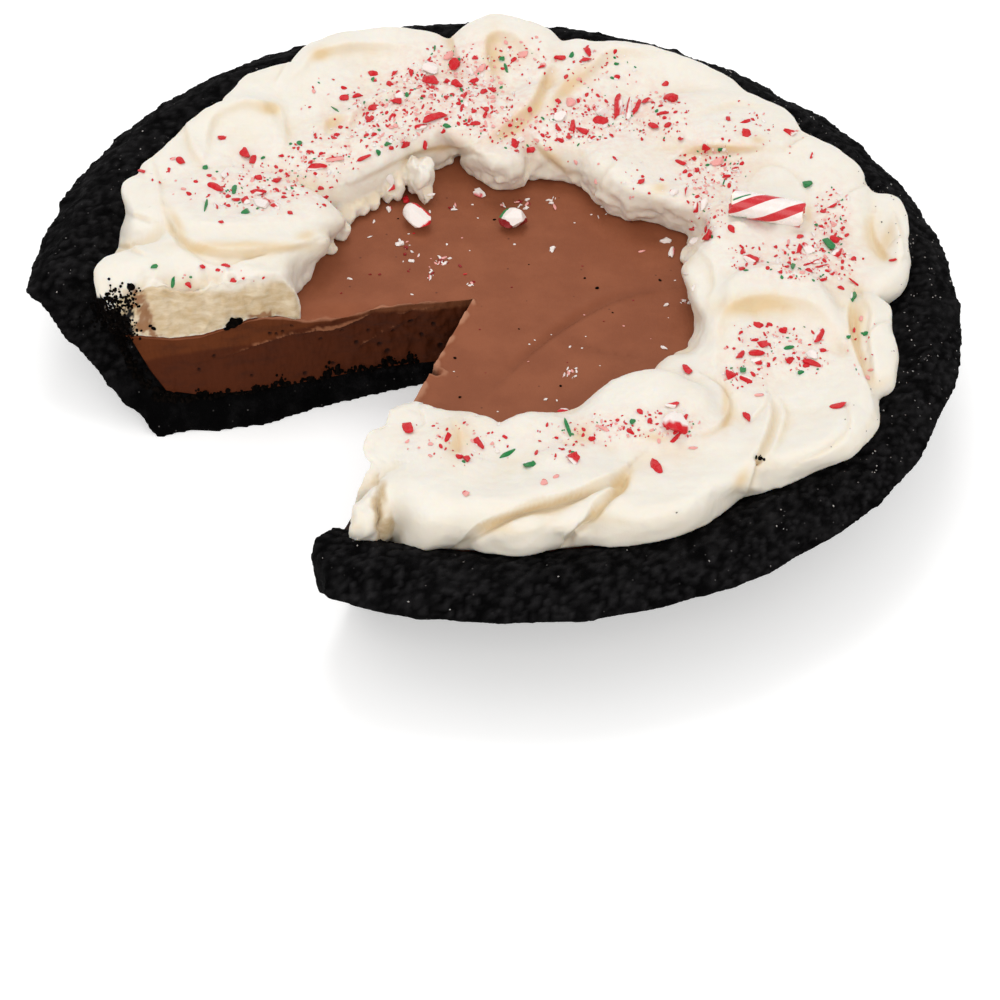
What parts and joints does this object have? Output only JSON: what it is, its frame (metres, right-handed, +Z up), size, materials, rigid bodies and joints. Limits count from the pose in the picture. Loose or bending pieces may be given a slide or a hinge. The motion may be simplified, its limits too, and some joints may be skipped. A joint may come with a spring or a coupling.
{
  "type": "chocolate cream pie",
  "caption": "Round chocolate cream pie on a dark crumb crust with one slice out: milk-chocolate filling, a ring of swirled whipped cream and broken peppermint candy.",
  "frame": {"origin": "middle of the pie's base, on the surface that it stands on", "axes": "+Z straight up out of the pie; -Y towards the front, with the missing slice at the front left between -X and -Y"},
  "size_m": [0.2411, 0.2402, 0.0488],
  "materials": {
    "dark_crumb": "matte, crumbly",
    "milk_chocolate": "satin",
    "whipped_cream": "soft satin",
    "candy_red": "gloss",
    "candy_white": "gloss"
  },
  "bodies": {
    "root": {"crust": "dark_crumb", "filling": "milk_chocolate", "whipped_cream": "whipped_cream", "candy_cane_piece": "candy_red", "candy_lump_left": "candy_white", "candy_lump_right": "candy_white"}
  },
  "joints": []
}
